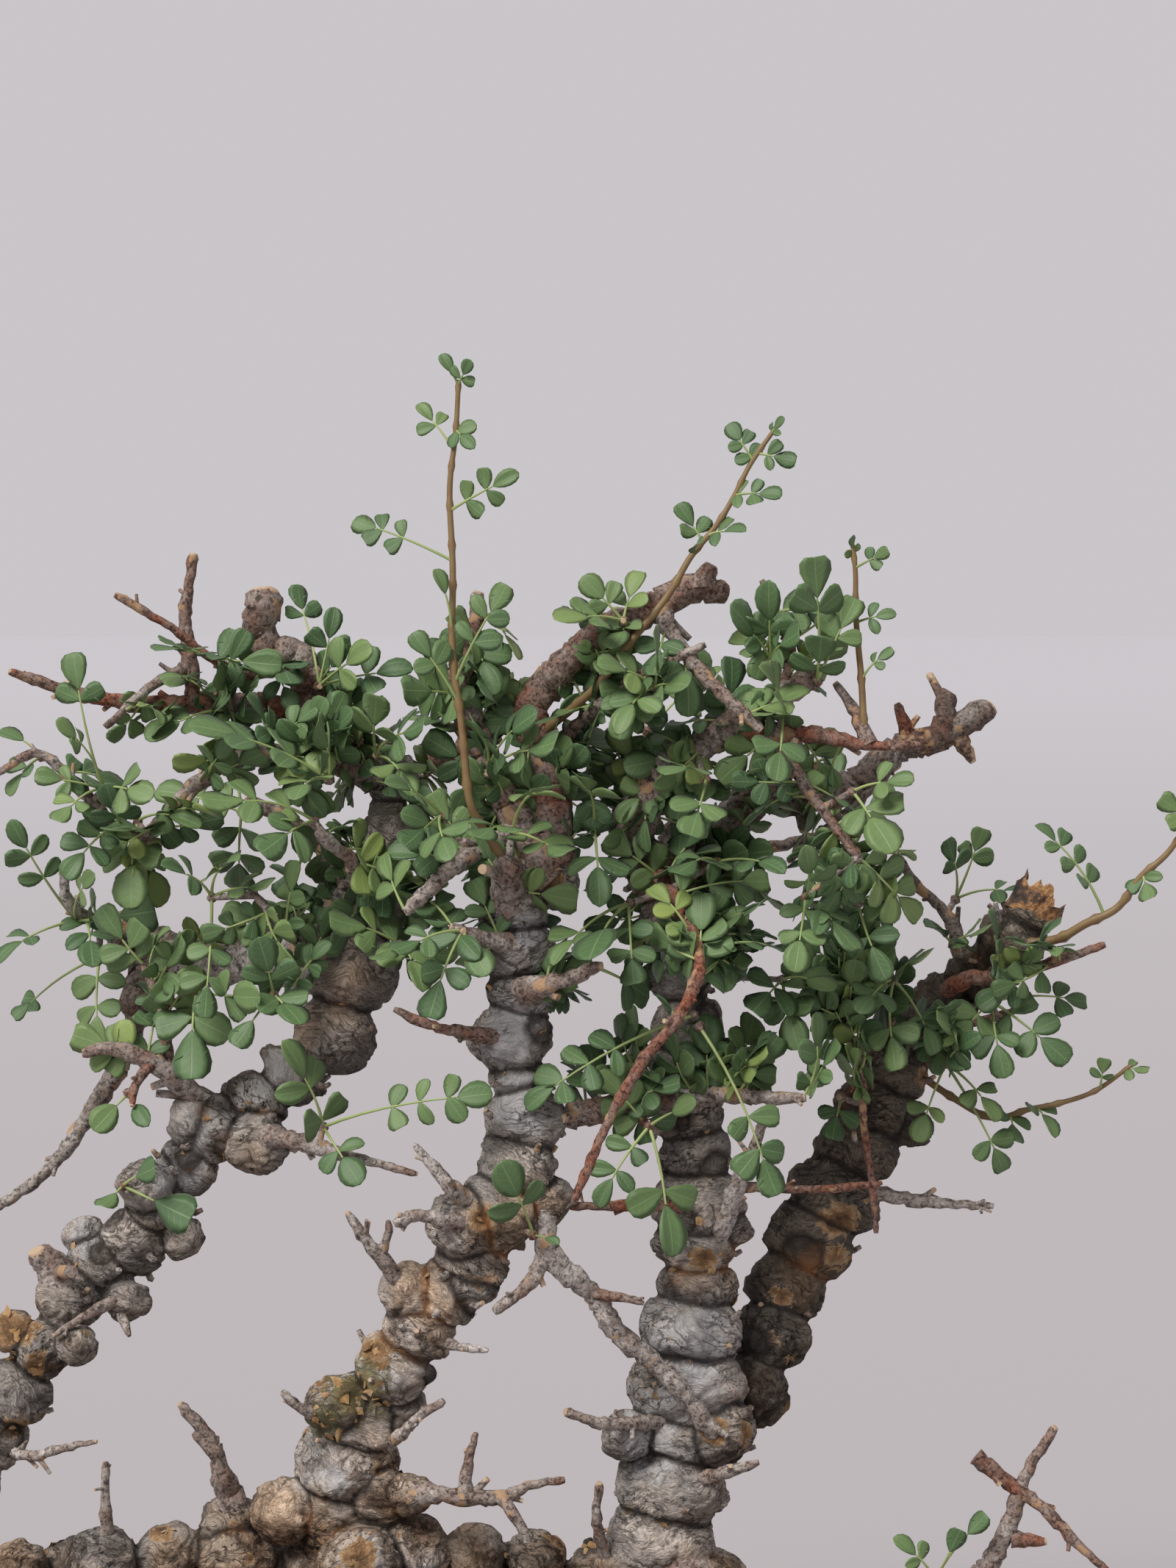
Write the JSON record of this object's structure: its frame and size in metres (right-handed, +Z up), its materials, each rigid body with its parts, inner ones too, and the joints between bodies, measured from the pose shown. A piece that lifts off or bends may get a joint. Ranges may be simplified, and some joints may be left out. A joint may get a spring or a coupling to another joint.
{
  "type": "commiphora bonsai tree",
  "caption": "Knobbly-stemmed commiphora bonsai with dead twigs, long shoots and sprays of small compound leaves, grown in soil in a plain oval pot.",
  "frame": {"origin": "middle of the pot's flat underside, on the surface that it stands on", "axes": "+Z up out of the pot, +X along the pot's length to the viewer's right, -Y towards the viewer"},
  "size_m": [0.4672, 0.232, 0.5302],
  "materials": {
    "bark": "matt grey bark with pale patches, dark specks and tan scars",
    "pot_glaze": "unglazed brown-grey stoneware, satin matt",
    "soil": "loose gritty grains of mixed browns and greys",
    "leaves": "soft satin, deep green with paler veins and margins",
    "shoots": "satin, olive-brown stems with green leaves"
  },
  "bodies": {
    "root": {"wood": "bark", "pot": "pot_glaze", "soil": "soil", "shoot_tall": "shoots", "shoot_leaning": "shoots", "shoot_right": "shoots", "shoot_far": "shoots", "shoot_low": "shoots", "left_high": "leaves", "left_trio": "leaves", "left_mid": "leaves", "left_low": "leaves", "left_inner": "leaves", "left_hanging": "leaves", "left_across": "leaves", "left_shoulder": "leaves", "left_crown": "leaves", "left_top": "leaves", "left_far_top": "leaves", "left_edge": "leaves", "stem_side": "leaves", "stem_low": "leaves", "stem_front": "leaves", "foot_shoot": "leaves", "dead_twig_leaf": "leaves", "left_back": "leaves", "left_back_low": "leaves", "middle_high": "leaves", "middle_left": "leaves", "middle_front": "leaves", "middle_right": "leaves", "middle_low": "leaves", "middle_side": "leaves", "middle_across": "leaves", "middle_hanging": "leaves", "middle_knob": "leaves", "middle_top": "leaves", "middle_back": "leaves", "right_fan": "leaves", "right_down": "leaves", "right_front": "leaves", "right_middle": "leaves", "right_low": "leaves", "right_outer": "leaves", "right_edge": "leaves", "right_skirt": "leaves", "right_under": "leaves", "leaning_leaf": "leaves", "bright_leaf": "leaves", "right_tuft": "leaves", "right_spike": "leaves", "right_inner": "leaves", "right_back": "leaves", "crown_back": "leaves", "stump_leaves": "leaves", "far_right": "leaves", "far_right_low": "leaves", "far_right_high": "leaves", "low_right": "leaves"}
  },
  "joints": []
}
